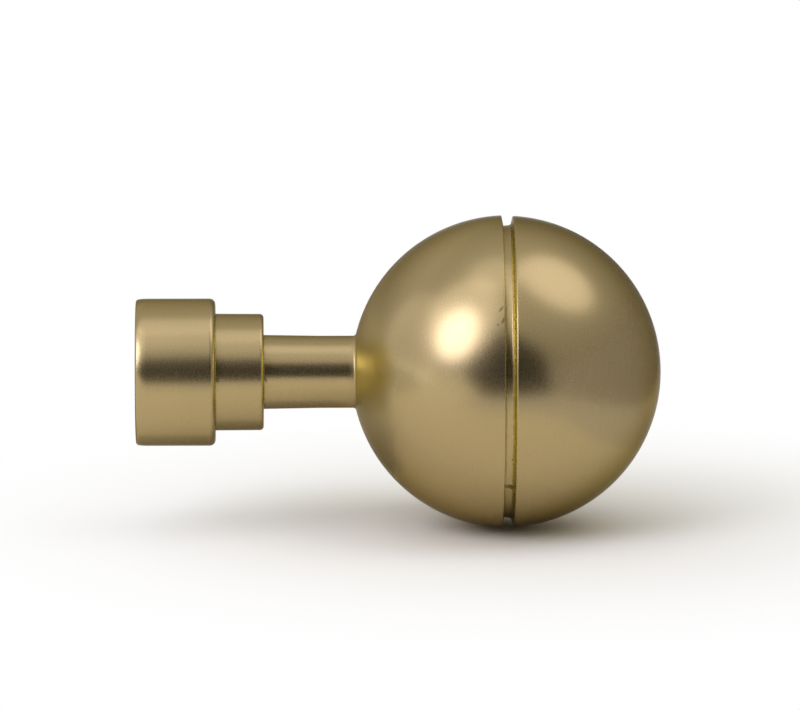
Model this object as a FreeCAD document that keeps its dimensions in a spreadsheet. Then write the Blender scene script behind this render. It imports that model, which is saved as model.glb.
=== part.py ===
# Curtain pole finial. A stepped collar slides over the end of the pole, and a short neck carries a
# hollow ball with a groove round its middle. Collar, neck and the rear half of the ball are one
# casting. The front half is a cap: its spigot seats in a register inside the rear half, and the
# groove is what stays open between the two rims. A grub screw in the collar grips the pole.
# Millimetres. +X runs along the pole, out towards the ball, and +Z is up. The origin is the middle
# of the pole's cut end, where it stands on the seat at the bottom of the socket.
import FreeCAD, Part
import math
import os

import Sketcher

doc = FreeCAD.newDocument("curtain_pole_finial")

# Driving dimensions, in millimetres and degrees
SIZES = {
    # Socket, sized to the pole that it slides over
    "pole_diameter": 28.0,
    "socket_clearance": 0.2,
    "socket_depth": 15.5,
    "collar_wall": 2.0,
    "mouth_chamfer": 0.5,
    "mouth_round": 0.65,
    # Collar's end, the step in front of it and the recess cored behind the pole's seat
    "collar_end_wall": 2.0,
    "collar_nose_round": 1.4,
    "step_set_in": 3.35,
    "step_length": 10.6,
    "step_taper": 0.35,
    "step_nose_round": 0.9,
    "recess_wall": 2.6,
    "recess_depth": 8.0,
    "recess_taper": 2.0,
    # Neck, a little thicker where it leaves the step
    "neck_diameter": 15.9,
    "neck_length": 20.2,
    "neck_root_swell": 0.2,
    "neck_root_length": 12.5,
    "neck_fillet": 0.65,
    # Ball, whose front half is slightly smaller and shorter than its rear half
    "ball_diameter": 68.8,
    "front_set_in": 0.1,
    "front_set_back": 0.55,
    "rear_wall": 2.8,
    "crown_wall": 2.4,
    # Groove between the halves, and the spigot that closes it at the bottom
    "rear_rim_to_middle": 1.34,
    "groove_width": 2.56,
    "groove_depth": 2.3,
    "groove_wall_tilt": 11.0,
    "groove_floor_tilt": 6.0,
    "groove_root_fillet": 0.3,
    "rim_round": 0.4,
    "spigot_wall": 1.8,
    "spigot_clearance": 0.05,
    "spigot_lead": 0.5,
    "register_depth": 4.0,
    # Grub screw, a short M3 with a hex socket and a cup point
    "screw_diameter": 3.0,
    "screw_length": 2.0,
    "screw_clearance": 0.05,
    "screw_from_mouth": 7.5,
    "screw_chamfer": 0.25,
    "cup_diameter": 1.4,
    "cup_depth": 0.4,
    "hex_key": 1.5,
    "hex_depth": 0.9,
}

sheet = doc.addObject("Spreadsheet::Sheet", "sizes")
for row, (alias, value) in enumerate(SIZES.items(), start=1):
    sheet.set(f"A{row}", alias)
    sheet.set(f"B{row}", str(value))
    sheet.setAlias(f"B{row}", alias)
doc.recompute()

# Sizes that follow from the driving ones, written as expressions on the sheet. X is a place along
# the pole's axis, and R is a radius from it.
BORE_R = "(sizes.pole_diameter / 2 + sizes.socket_clearance)"
COLLAR_R = f"({BORE_R} + sizes.collar_wall)"
MOUTH_X = "(-sizes.socket_depth)"
STEP_X = "(sizes.collar_end_wall)"
STEP_R = f"({COLLAR_R} - sizes.step_set_in)"
STEP_END_X = f"({STEP_X} + sizes.step_length)"
STEP_END_R = f"({STEP_R} - sizes.step_length * tan(sizes.step_taper * 1 deg))"
RECESS_R = f"({STEP_R} - sizes.recess_wall)"
RECESS_END_R = f"({RECESS_R} - sizes.recess_depth * tan(sizes.recess_taper * 1 deg))"
NECK_R = "(sizes.neck_diameter / 2)"
NECK_ROOT_R = f"({NECK_R} + sizes.neck_root_swell)"
NECK_SLIM_X = f"({STEP_END_X} + sizes.neck_root_length)"
NECK_END_X = f"({STEP_END_X} + sizes.neck_length)"
BALL_R = "(sizes.ball_diameter / 2)"
BALL_X = f"({NECK_END_X} + sqrt({BALL_R}^2 - {NECK_R}^2))"
CAVITY_R = f"({BALL_R} - sizes.rear_wall)"
REAR_RIM_X = f"({BALL_X} - sizes.rear_rim_to_middle)"
FRONT_RIM_X = f"({REAR_RIM_X} + sizes.groove_width)"
WALL_RUN = "(sizes.groove_depth * tan(sizes.groove_wall_tilt * 1 deg))"
FLOOR_X = f"({REAR_RIM_X} + {WALL_RUN})"
FLOOR_END_X = f"({FRONT_RIM_X} - {WALL_RUN})"
SPIGOT_R = f"({BALL_R} - sizes.groove_depth)"
FLOOR_END_R = f"({SPIGOT_R} + ({FLOOR_END_X} - {FLOOR_X}) * tan(sizes.groove_floor_tilt * 1 deg))"
SPIGOT_BORE_R = f"({SPIGOT_R} - sizes.spigot_wall)"
REGISTER_R = f"({SPIGOT_R} + sizes.spigot_clearance)"
REGISTER_X = f"({REAR_RIM_X} - sizes.register_depth)"
FRONT_R = f"({BALL_R} - sizes.front_set_in)"
FRONT_X = f"({BALL_X} - sizes.front_set_back)"
DOME_X = f"({FRONT_X} + {FRONT_R} - sizes.crown_wall - {SPIGOT_BORE_R})"
SCREW_X = f"({MOUTH_X} + sizes.screw_from_mouth)"
HOLE_R = "(sizes.screw_diameter / 2)"
SCREW_R = f"({HOLE_R} - sizes.screw_clearance)"


def size(expression):
    """The plain number that an expression on the sheet comes to."""
    found = sheet.evalExpression(expression)
    return float(getattr(found, "Value", found))


def new_body(label):
    body = doc.addObject("PartDesign::Body", label)
    body.Label = label
    return body


def new_sketch(body, name, support):
    """An empty sketch on one of the body's origin planes, given by its role, or on a face."""
    sketch = body.newObject("Sketcher::SketchObject", name)
    if isinstance(support, str):
        plane = next(item for item in body.Origin.OriginFeatures if item.Role == support)
        support = (plane, "")
    sketch.AttachmentSupport = [support]
    sketch.MapMode = "FlatFace"
    return sketch


def dimension(sketch, name, kind, *where, value):
    """Adds one dimension to a sketch and binds it to an expression on the sheet."""
    number = sketch.addConstraint(Sketcher.Constraint(kind, *where, size(value)))
    sketch.renameConstraint(number, name)
    sketch.setExpression(f"Constraints.{name}", value)


def place(sketch, name, where, x, y):
    """Holds a point of a sketch at x and y. "0" puts it on the axis, and None leaves it free."""
    for value, kind, axis in ((x, "DistanceX", -2), (y, "DistanceY", -1)):
        if value == "0":
            sketch.addConstraint(Sketcher.Constraint("PointOnObject", *where, axis))
        elif value is not None:
            dimension(sketch, f"{name}_{kind[-1].lower()}", kind, -1, 1, *where, value=value)


def beyond(curve, tip, reach):
    """The point of a line or arc that lies a short way along it from the end at tip."""
    near, far = curve.FirstParameter, curve.LastParameter
    if curve.value(far).distanceToPoint(tip) < curve.value(near).distanceToPoint(tip):
        near, far = far, near
    return curve.value(near + (far - near) * reach / curve.length())


def outline(body, name, corners, arcs=None, rounds=None):
    """Draws a closed section on the XY plane through named corners, each an (x, y) pair of
    expressions. arcs gives the centre's x, the radius and the side, -1 or +1, of each arc round a
    point on the X axis, under the name of the corner where it starts. Each end of an arc leaves
    one coordinate free as None, because the arc itself sets it. rounds gives the radius of each
    corner that is rounded off."""
    sketch = new_sketch(body, name, "XY_Plane")
    arcs = arcs or {}
    rounds = rounds or {}
    names = list(corners)
    follower = dict(zip(names, names[1:] + names[:1]))
    circles = {}
    for corner, arc in arcs.items():
        circles[corner] = arc
        circles[follower[corner]] = arc
    spots = {}
    for corner, (x, y) in corners.items():
        if x is None:
            centre, radius, side = circles[corner]
            spots[corner] = (size(centre) + side * math.sqrt(size(radius) ** 2 - size(y) ** 2), size(y))
        elif y is None:
            centre, radius, side = circles[corner]
            spots[corner] = (size(x), math.sqrt(size(radius) ** 2 - (size(x) - size(centre)) ** 2))
        else:
            spots[corner] = (size(x), size(y))
    starts = {}
    ends = {}
    for number, corner in enumerate(names):
        first = spots[corner]
        last = spots[follower[corner]]
        if corner in arcs:
            centre, radius, side = arcs[corner]
            angles = [math.atan2(spot[1], spot[0] - size(centre)) for spot in (first, last)]
            middle = FreeCAD.Vector(size(centre), 0, 0)
            circle = Part.Circle(middle, FreeCAD.Vector(0, 0, 1), size(radius))
            sketch.addGeometry(Part.ArcOfCircle(circle, min(angles), max(angles)), False)
            forwards = angles[1] > angles[0]
        else:
            sketch.addGeometry(Part.LineSegment(FreeCAD.Vector(*first, 0), FreeCAD.Vector(*last, 0)), False)
            forwards = True
        starts[corner] = (number, 1 if forwards else 2)
        ends[corner] = (number, 2 if forwards else 1)
    for corner in names:
        joint = Sketcher.Constraint("Coincident", *ends[corner], *starts[follower[corner]])
        sketch.addConstraint(joint)
    for number, corner in enumerate(names):
        place(sketch, corner, starts[corner], *corners[corner])
        if corner in arcs:
            centre, radius, side = arcs[corner]
            place(sketch, f"{corner}_centre", (number, 3), centre, "0")
            dimension(sketch, f"{corner}_radius", "Radius", number, value=radius)
    for corner, radius in rounds.items():
        after = names.index(corner)
        tip = FreeCAD.Vector(*spots[corner], 0)
        beside = [beyond(sketch.Geometry[number], tip, size(radius)) for number in (after - 1, after)]
        sketch.fillet(after - 1, after, *beside, size(radius), True, True)
        rounded = next(
            number
            for number in reversed(range(sketch.GeometryCount))
            if isinstance(sketch.Geometry[number], Part.ArcOfCircle)
        )
        dimension(sketch, f"{corner}_round", "Radius", rounded, value=radius)
    return sketch


def turn(body, kind, name, sketch, axis="H_Axis"):
    """A Revolution that adds, or a Groove that cuts, a section turned once round an axis."""
    feature = body.newObject(f"PartDesign::{kind}", name)
    feature.Profile = sketch
    feature.ReferenceAxis = (sketch, [axis])
    feature.Angle = 360
    sketch.Visibility = False
    doc.recompute()
    return feature


def rings(feature, *wanted):
    """Names the round edges that stand at each (x, radius) of a turned piece."""
    names = []
    for x, radius in wanted:
        for number, edge in enumerate(feature.Shape.Edges, start=1):
            if edge.Degenerated or not isinstance(edge.Curve, Part.Circle):
                continue
            off_x = abs(edge.Curve.Center.x - size(x))
            off_radius = abs(edge.Curve.Radius - size(radius))
            if max(off_x, off_radius) < 1e-3:
                names.append(f"Edge{number}")
    return names


def dress(body, kind, name, base, edges, key, value):
    """A Fillet or Chamfer on named edges of the feature below it."""
    feature = body.newObject(f"PartDesign::{kind}", name)
    feature.Base = (base, edges)
    feature.setExpression(key, value)
    doc.recompute()
    return feature


# Socket casting. Its outside is turned first as a solid form, from the socket's mouth to the wall
# of the groove, and is then hollowed from both ends.
casting = new_body("socket_casting")
form = outline(
    casting,
    "casting_outside",
    {
        "mouth_middle": (MOUTH_X, "0"),
        "mouth": (MOUTH_X, COLLAR_R),
        "collar_end": (STEP_X, COLLAR_R),
        "step_root": (STEP_X, STEP_R),
        "step_end": (STEP_END_X, STEP_END_R),
        "neck_root": (STEP_END_X, NECK_ROOT_R),
        "neck_slim": (NECK_SLIM_X, NECK_R),
        "neck_end": (None, NECK_R),
        "rear_rim": (REAR_RIM_X, None),
        "groove_foot": (FLOOR_X, REGISTER_R),
        "groove_middle": (FLOOR_X, "0"),
    },
    {"neck_end": (BALL_X, BALL_R, -1)},
    {"neck_end": "sizes.neck_fillet", "rear_rim": "sizes.rim_round"},
)
solid = turn(casting, "Revolution", "casting_form", form)

# The socket: a lead-in chamfer, the bore, the seat for the pole's end and the cored recess
socket = outline(
    casting,
    "socket_section",
    {
        "lead_middle": (MOUTH_X, "0"),
        "lead": (MOUTH_X, f"({BORE_R} + sizes.mouth_chamfer)"),
        "bore": (f"({MOUTH_X} + sizes.mouth_chamfer)", BORE_R),
        "seat": ("0", BORE_R),
        "recess": ("0", RECESS_R),
        "recess_end": ("sizes.recess_depth", RECESS_END_R),
        "recess_middle": ("sizes.recess_depth", "0"),
    },
)
bored = turn(casting, "Groove", "socket", socket)

# The hollow of the rear half, with the register that the cap's spigot slides into
hollow = outline(
    casting,
    "hollow_section",
    {
        "hollow_back": (None, "0"),
        "shoulder_inside": (REGISTER_X, None),
        "shoulder": (REGISTER_X, REGISTER_R),
        "register_mouth": (FLOOR_X, REGISTER_R),
        "register_middle": (FLOOR_X, "0"),
    },
    {"hollow_back": (BALL_X, CAVITY_R, -1)},
)
hollowed = turn(casting, "Groove", "ball_hollow", hollow)

# The grub screw's hole, drilled through the back wall of the collar only
hole_sketch = new_sketch(casting, "screw_hole_section", "XZ_Plane")
hole_sketch.addGeometry(
    Part.Circle(FreeCAD.Vector(size(SCREW_X), 0, 0), FreeCAD.Vector(0, 0, 1), size(HOLE_R)), False
)
place(hole_sketch, "hole", (0, 3), SCREW_X, "0")
dimension(hole_sketch, "hole_radius", "Radius", 0, value=HOLE_R)
screw_hole = casting.newObject("PartDesign::Pocket", "screw_hole")
screw_hole.Profile = hole_sketch
screw_hole.Type = "Length"
screw_hole.setExpression("Length", f"({COLLAR_R} + sizes.collar_wall)")
hole_sketch.Visibility = False
doc.recompute()

# Rounded edges of the mouth, the collar and the step
rounded = dress(
    casting, "Fillet", "mouth_edge", screw_hole, rings(screw_hole, (MOUTH_X, COLLAR_R)), "Radius", "sizes.mouth_round"
)
rounded = dress(
    casting, "Fillet", "collar_nose", rounded, rings(rounded, (STEP_X, COLLAR_R)), "Radius", "sizes.collar_nose_round"
)
rounded = dress(
    casting, "Fillet", "step_nose", rounded, rings(rounded, (STEP_END_X, STEP_END_R)), "Radius", "sizes.step_nose_round"
)

# Front cap. Its outside runs along the spigot, up the groove's front wall and over the crown.
cap = new_body("front_cap")
cap_form = outline(
    cap,
    "cap_outside",
    {
        "spigot_middle": (REGISTER_X, "0"),
        "spigot_end": (REGISTER_X, SPIGOT_R),
        "floor": (FLOOR_X, SPIGOT_R),
        "floor_end": (FLOOR_END_X, FLOOR_END_R),
        "front_rim": (FRONT_RIM_X, None),
        "crown": (None, "0"),
    },
    {"front_rim": (FRONT_X, FRONT_R, 1)},
    {"floor_end": "sizes.groove_root_fillet", "front_rim": "sizes.rim_round"},
)
cap_solid = turn(cap, "Revolution", "cap_form", cap_form)

# The cap is cored straight through the spigot, and its hollow ends in a dome under the crown
cap_hollow = outline(
    cap,
    "cap_hollow_section",
    {
        "spigot_mouth_middle": (REGISTER_X, "0"),
        "spigot_mouth": (REGISTER_X, SPIGOT_BORE_R),
        "dome": (DOME_X, None),
        "dome_top": (None, "0"),
    },
    {"dome": (DOME_X, SPIGOT_BORE_R, 1)},
)
cored = turn(cap, "Groove", "cap_hollow", cap_hollow)
cored = dress(
    cap, "Chamfer", "spigot_lead_in", cored, rings(cored, (REGISTER_X, SPIGOT_R)), "Size", "sizes.spigot_lead"
)

# Grub screw, turned round its own axis and then set into the collar with its end flush
screw = new_body("grub_screw")
screw_form = outline(
    screw,
    "screw_section",
    {
        "cup_bottom": ("0", "sizes.cup_depth"),
        "cup_edge": ("(sizes.cup_diameter / 2)", "0"),
        "tip": (f"({SCREW_R} - sizes.screw_chamfer)", "0"),
        "tip_edge": (SCREW_R, "sizes.screw_chamfer"),
        "end_edge": (SCREW_R, "(sizes.screw_length - sizes.screw_chamfer)"),
        "end": (f"({SCREW_R} - sizes.screw_chamfer)", "sizes.screw_length"),
        "end_middle": ("0", "sizes.screw_length"),
    },
)
shank = turn(screw, "Revolution", "shank", screw_form, "V_Axis")

# The hex socket for the key, cut into the screw's outer end
end_face = max(range(len(shank.Shape.Faces)), key=lambda number: shank.Shape.Faces[number].CenterOfMass.y)
hex_sketch = new_sketch(screw, "hex_section", (shank, f"Face{end_face + 1}"))
hex_radius = "(sizes.hex_key / sqrt(3))"
hex_points = []
for corner in range(6):
    turned = math.radians(60 * corner)
    hex_points.append(FreeCAD.Vector(size(hex_radius) * math.cos(turned), size(hex_radius) * math.sin(turned), 0))
for corner in range(6):
    hex_sketch.addGeometry(Part.LineSegment(hex_points[corner], hex_points[(corner + 1) % 6]), False)
hex_sketch.addGeometry(Part.Circle(FreeCAD.Vector(0, 0, 0), FreeCAD.Vector(0, 0, 1), size(hex_radius)), True)
hex_sketch.addConstraint(Sketcher.Constraint("Coincident", 6, 3, -1, 1))
for corner in range(6):
    hex_sketch.addConstraint(Sketcher.Constraint("Coincident", corner, 2, (corner + 1) % 6, 1))
    hex_sketch.addConstraint(Sketcher.Constraint("PointOnObject", corner, 1, 6))
for corner in range(1, 6):
    hex_sketch.addConstraint(Sketcher.Constraint("Equal", 0, corner))
hex_sketch.addConstraint(Sketcher.Constraint("PointOnObject", 0, 1, -1))
dimension(hex_sketch, "hex_radius", "Radius", 6, value=hex_radius)
hex_socket = screw.newObject("PartDesign::Pocket", "hex_socket")
hex_socket.Profile = hex_sketch
hex_socket.Type = "Length"
hex_socket.setExpression("Length", "sizes.hex_depth")
hex_sketch.Visibility = False
screw.setExpression("Placement.Base.x", SCREW_X)
screw.setExpression("Placement.Base.y", f"({COLLAR_R} - sizes.screw_length)")
doc.recompute()

# Nothing is written unless every feature is sound and every cut took something away
for item in doc.Objects:
    if "Invalid" in item.State or "Error" in item.State:
        raise RuntimeError(f"{item.Name} failed: {item.State}")
for before, after in ((solid, bored), (bored, hollowed), (hollowed, screw_hole), (cap_solid, cored), (shank, hex_socket)):
    if after.Shape.Volume >= before.Shape.Volume:
        raise RuntimeError(f"{after.Name} cut nothing")
os.makedirs("parts", exist_ok=True)
for body in (casting, cap, screw):
    shape = body.Shape
    if shape.isNull() or not shape.isValid() or len(shape.Solids) != 1:
        raise RuntimeError(f"{body.Label} isn't one sound solid")
for body in (casting, cap, screw):
    body.Shape.exportStep(f"parts/{body.Label}.step")
    box = body.Shape.BoundBox
    print(
        f"{body.Label}: x {box.XMin:.2f} to {box.XMax:.2f}, y {box.YMin:.2f} to {box.YMax:.2f}, "
        f"z {box.ZMin:.2f} to {box.ZMax:.2f} mm, {body.Shape.Volume / 1000:.3f} cm3"
    )
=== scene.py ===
# %% [markdown]
# # A brass ball finial for a curtain pole
#
# The finial closes the end of a 28 mm pole. A stepped collar slides over the pole, a short neck
# follows it, and a hollow ball with a groove round its middle ends it. It is turned work all
# over, so this lesson draws half of each section, rounds its corners, and spins it round the
# pole's axis.
#
# The imported part is loaded first, because it fixes every place and size. The box that it fills
# is kept.

# %% Load the imported part
import math

import bpy
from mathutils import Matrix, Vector


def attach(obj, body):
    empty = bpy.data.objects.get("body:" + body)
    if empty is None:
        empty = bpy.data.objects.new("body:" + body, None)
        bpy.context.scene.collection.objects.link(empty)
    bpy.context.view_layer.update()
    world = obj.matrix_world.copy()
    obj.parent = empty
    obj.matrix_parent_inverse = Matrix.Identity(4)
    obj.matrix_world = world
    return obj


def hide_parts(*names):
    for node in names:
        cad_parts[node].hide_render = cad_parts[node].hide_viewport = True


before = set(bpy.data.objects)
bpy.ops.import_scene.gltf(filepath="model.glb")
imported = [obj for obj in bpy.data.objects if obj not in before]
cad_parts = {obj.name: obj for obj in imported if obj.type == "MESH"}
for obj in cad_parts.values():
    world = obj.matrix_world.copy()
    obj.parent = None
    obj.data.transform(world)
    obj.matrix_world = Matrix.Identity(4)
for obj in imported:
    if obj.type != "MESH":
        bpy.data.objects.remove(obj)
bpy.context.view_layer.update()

MM = 0.001

# %% [markdown]
# ## Driving sizes
#
# X runs along the pole's axis, out to the ball, and every circle of the finial stands round it.
# The origin is the seat where the pole's cut end stops. Lengths are written in millimetres here,
# and `at` turns a place along the axis and a radius into a point of the section in metres.

# %% Sizes of the finial, in millimetres
BORE_R = 14.2
COLLAR_R = 16.2
MOUTH_X = -15.5
STEP_X = 2.0
STEP_R = 12.85
STEP_NOSE_R = 12.785
NECK_X = 12.6
NECK_ROOT_R = 8.15
NECK_MIDDLE_X = 25.1
NECK_R = 7.95
RECESS_R = 10.25
RECESS_END_R = 9.971
RECESS_X = 8.0
BALL_X = 66.2688
BALL_R = 34.4
CAVITY_R = 31.6
REAR_RIM_X = 64.9288
FLOOR_X = 65.3758
FLOOR_END_X = 67.0417
FRONT_RIM_X = 67.4888
SPIGOT_R = 32.1
FLOOR_END_R = 32.275
REGISTER_R = 32.15
REGISTER_X = 60.9288
SPIGOT_BORE_R = 30.3
FRONT_X = 65.7188
FRONT_R = 34.3
DOME_X = 67.3188
ROUND_STEPS = 256


def at(x, radius):
    """A point of the section: x along the pole's axis, radius up from it, given in millimetres."""
    return Vector((x * MM, 0, radius * MM))


def on_ball(middle, ball_radius, x):
    """The radius at which a ball is cut by the plane at x."""
    return math.sqrt(ball_radius**2 - (x - middle) ** 2)


REAR_RIM_R = on_ball(BALL_X, BALL_R, REAR_RIM_X)
FRONT_RIM_R = on_ball(FRONT_X, FRONT_R, FRONT_RIM_X)
NECK_END_X = BALL_X - math.sqrt(BALL_R**2 - NECK_R**2)
print("the neck meets the ball at x =", round(NECK_END_X, 2), "mm")

# %% [markdown]
# ## Drawing a turned section
#
# A lathe profile could be typed in as a list of points, but a ball is only as round as the list is
# long. Here each ball starts as a circle primitive that is cut with Bisect to the arc it needs.
# The straight runs are then drawn on from the arc's end vertex, one Extrude a run, the way one
# clicks them out by hand. Corners are rounded last, with a vertex bevel.

# %% Select one object, or some of its vertices
TOUCHING = 0.01 * MM


def alone(piece):
    """Selects one object and makes it the active one."""
    bpy.ops.object.select_all(action="DESELECT")
    piece.select_set(True)
    bpy.context.view_layer.objects.active = piece


def pick(piece, wanted):
    """Goes into edit mode with just the vertices selected for which wanted(place) is true."""
    alone(piece)
    mesh = piece.data
    for polygon in mesh.polygons:
        polygon.select = False
    for edge in mesh.edges:
        edge.select = False
    for vertex in mesh.vertices:
        vertex.select = bool(wanted(vertex.co))
    bpy.ops.object.mode_set(mode="EDIT")
    bpy.ops.mesh.select_mode(type="VERT")


def near(*points):
    """A test for pick: is the place at one of these points?"""
    return lambda place: any((place - point).length < TOUCHING for point in points)


# %% Draw arcs and straight runs
CUT_THRESHOLD = 1e-7


def arc(name, middle, radius, x_from=None, x_to=None, r_from=0.0):
    """A ball's section above r_from, cut off before x_from or beyond x_to."""
    bpy.ops.object.select_all(action="DESELECT")
    bpy.ops.mesh.primitive_circle_add(
        vertices=ROUND_STEPS,
        radius=radius * MM,
        fill_type="NOTHING",
        location=at(middle, 0),
        rotation=(math.pi / 2, 0, 0),
    )
    piece = bpy.context.object
    piece.name = name
    bpy.ops.object.transform_apply(location=True, rotation=True, scale=True)
    cuts = [(at(0, r_from), (0, 0, -1)), (x_from, (-1, 0, 0)), (x_to, (1, 0, 0))]
    for place, outwards in cuts:
        if place is None:
            continue
        point = place if isinstance(place, Vector) else at(place, 0)
        pick(piece, lambda _: True)
        bpy.ops.mesh.bisect(
            plane_co=point, plane_no=outwards, clear_outer=True, threshold=CUT_THRESHOLD
        )
        bpy.ops.object.mode_set(mode="OBJECT")
    return piece


def draw_on(piece, start, *corners):
    """Draws straight runs on from the vertex at start, through each corner in turn."""
    pick(piece, near(start))
    here = next(v.co.copy() for v in piece.data.vertices if near(start)(v.co))
    for corner in corners:
        bpy.ops.mesh.extrude_vertices_move(TRANSFORM_OT_translate={"value": corner - here})
        here = corner
    bpy.ops.object.mode_set(mode="OBJECT")


def close_run(piece, one, other):
    """Joins two ends of a section with a straight run."""
    pick(piece, near(one, other))
    bpy.ops.mesh.edge_face_add()
    bpy.ops.object.mode_set(mode="OBJECT")


# %% Round a corner, join sections and spin them
CROWDED = 1.1
MERGE_DISTANCE = 1e-6


def round_corner(piece, corner, radius, turn, segments):
    """Rounds the corner where the section turns by so many degrees; radius in millimetres."""
    tangent = radius * MM * math.tan(math.radians(turn) / 2)
    crowded = [
        v.co.copy()
        for v in piece.data.vertices
        if TOUCHING < (v.co - corner).length < tangent * CROWDED
    ]
    if crowded:
        pick(piece, near(*crowded))
        bpy.ops.mesh.dissolve_verts()
        bpy.ops.object.mode_set(mode="OBJECT")
    pick(piece, near(corner))
    bpy.ops.mesh.bevel(
        offset=tangent,
        offset_type="OFFSET",
        segments=segments,
        affect="VERTICES",
        clamp_overlap=False,
        profile=0.5,
    )
    bpy.ops.object.mode_set(mode="OBJECT")


def merge(*pieces):
    """Joins several pieces into the first one."""
    alone(pieces[0])
    for piece in pieces[1:]:
        piece.select_set(True)
    bpy.ops.object.join()


def spin(piece, axis=(1, 0, 0), centre=(0, 0, 0), steps=ROUND_STEPS):
    """Spins the section into a closed solid with its faces outwards."""
    pick(piece, lambda _: True)
    bpy.ops.mesh.spin(
        steps=steps, angle=2 * math.pi, center=centre, axis=axis, use_auto_merge=True
    )
    bpy.ops.mesh.select_all(action="SELECT")
    bpy.ops.mesh.remove_doubles(threshold=MERGE_DISTANCE)
    bpy.ops.mesh.normals_make_consistent(inside=False)
    bpy.ops.object.mode_set(mode="OBJECT")
    print(piece.name, "has", len(piece.data.polygons), "faces after the spin")


# %% [markdown]
# ## The socket casting
#
# Collar, step, neck and the rear half of the ball are one casting. Its section runs from the floor
# of the cored recess out through the bore, round the mouth, along the outside to the ball's rim,
# down the groove's rear wall and back inside the ball, so both of its ends lie on the axis and
# the spin closes it. The collar's shoulder is the widest round of the stem, and the rim of the
# ball is nearly sharp. Polishing has crowned the last two millimetres before the mouth, which
# catch a wide glow from the side, so the section falls there in two slight steps rounded by wide
# bevels.

# %% Draw the casting's section
rear_ball = arc("socket_casting_shell", BALL_X, BALL_R, x_to=REAR_RIM_X, r_from=NECK_R)
rear_hollow = arc("rear_hollow", BALL_X, CAVITY_R, x_to=REGISTER_X)
merge(rear_ball, rear_hollow)
casting = rear_ball
MOUTH_CHAMFER = 0.5
CROWN_FROM = (MOUTH_X + 2.1, COLLAR_R)
CROWN_MIDDLE = (MOUTH_X + 1.2, COLLAR_R - 0.05)
CROWN_END = (MOUTH_X, COLLAR_R - 0.26)
draw_on(
    casting,
    at(NECK_END_X, NECK_R),
    at(NECK_MIDDLE_X, NECK_R),
    at(NECK_X, NECK_ROOT_R),
    at(NECK_X, STEP_NOSE_R),
    at(STEP_X, STEP_R),
    at(STEP_X, COLLAR_R),
    at(*CROWN_FROM),
    at(*CROWN_MIDDLE),
    at(*CROWN_END),
    at(MOUTH_X, BORE_R + MOUTH_CHAMFER),
    at(MOUTH_X + MOUTH_CHAMFER, BORE_R),
    at(0, BORE_R),
    at(0, RECESS_R),
    at(RECESS_X, RECESS_END_R),
    at(RECESS_X, 0),
)
draw_on(
    casting,
    at(REAR_RIM_X, REAR_RIM_R),
    at(FLOOR_X, REGISTER_R),
    at(REGISTER_X, REGISTER_R),
)
SHOULDER_R = on_ball(BALL_X, CAVITY_R, REGISTER_X)
close_run(casting, at(REGISTER_X, REGISTER_R), at(REGISTER_X, SHOULDER_R))
print("the casting's section has", len(casting.data.vertices), "points")

# %% Round the casting's corners
GROOVE_TILT = 11
neck_turn = math.degrees(math.acos(NECK_R / BALL_R))
rim_slope = math.degrees(math.asin((BALL_X - REAR_RIM_X) / BALL_R))
# Each row: the corner's place, the radius, the turn in degrees and the segments
CASTING_ROUNDS = (
    ((NECK_END_X, NECK_R), 0.65, neck_turn, 6),
    ((NECK_X, NECK_ROOT_R), 0.2, 89, 4),
    ((NECK_X, STEP_NOSE_R), 0.85, 90, 8),
    ((STEP_X, STEP_R), 0.2, 90, 4),
    ((STEP_X, COLLAR_R), 1.3, 90, 10),
    (CROWN_FROM, 15, 3.2, 6),
    (CROWN_MIDDLE, 6, 6.7, 6),
    (CROWN_END, 0.6, 80, 6),
    ((REAR_RIM_X, REAR_RIM_R), 0.14, 90 - GROOVE_TILT + rim_slope, 6),
)
for place, round_r, turn, segments in CASTING_ROUNDS:
    round_corner(casting, at(*place), round_r, turn, segments)
print("the neck's fillet turns the section by", round(neck_turn, 1), "degrees")
spin(casting)

# %% [markdown]
# ## The front cap
#
# The front half of the ball carries the groove's floor on a spigot that sits in the rear half.
# Its ball is a tenth of a millimetre smaller and sits half a millimetre further back, so its rim
# stands just inside the rear one. It is drawn the same way, from two arcs: the outside of the
# ball and the domed hollow.

# %% Draw and spin the cap
SPIGOT_LEAD = 0.5
front_ball = arc("front_cap_shell", FRONT_X, FRONT_R, x_from=FRONT_RIM_X)
dome = arc("dome", DOME_X, SPIGOT_BORE_R, x_from=DOME_X)
merge(front_ball, dome)
cap = front_ball
draw_on(
    cap,
    at(FRONT_RIM_X, FRONT_RIM_R),
    at(FLOOR_END_X, FLOOR_END_R),
    at(FLOOR_X, SPIGOT_R),
    at(REGISTER_X + SPIGOT_LEAD, SPIGOT_R),
    at(REGISTER_X, SPIGOT_R - SPIGOT_LEAD),
    at(REGISTER_X, SPIGOT_BORE_R),
)
close_run(cap, at(REGISTER_X, SPIGOT_BORE_R), at(DOME_X, SPIGOT_BORE_R))
CAP_ROUNDS = (
    ((FRONT_RIM_X, FRONT_RIM_R), 0.36, 90 - GROOVE_TILT + 3, 6),
    ((FLOOR_END_X, FLOOR_END_R), 0.7, 73, 6),
)
for place, round_r, turn, segments in CAP_ROUNDS:
    round_corner(cap, at(*place), round_r, turn, segments)
spin(cap)

# %% [markdown]
# ## A step in the groove
#
# Low down on the front, the groove's floor dips over some two millimetres and jumps back up at a
# slanting line, where the tool that turned the groove was lifted. A wedge with the shape of that
# dip is cut out with a Boolean modifier. A sculpted dent would need a finer mesh all over.

# %% Helpers for cutting


def cut(piece, cutter):
    """Takes the cutter out of the piece for good."""
    alone(piece)
    hole = piece.modifiers.new("hole", "BOOLEAN")
    hole.operation = "DIFFERENCE"
    hole.solver = "EXACT"
    hole.object = cutter
    bpy.ops.object.modifier_apply(modifier=hole.name)
    bpy.data.objects.remove(cutter)


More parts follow.
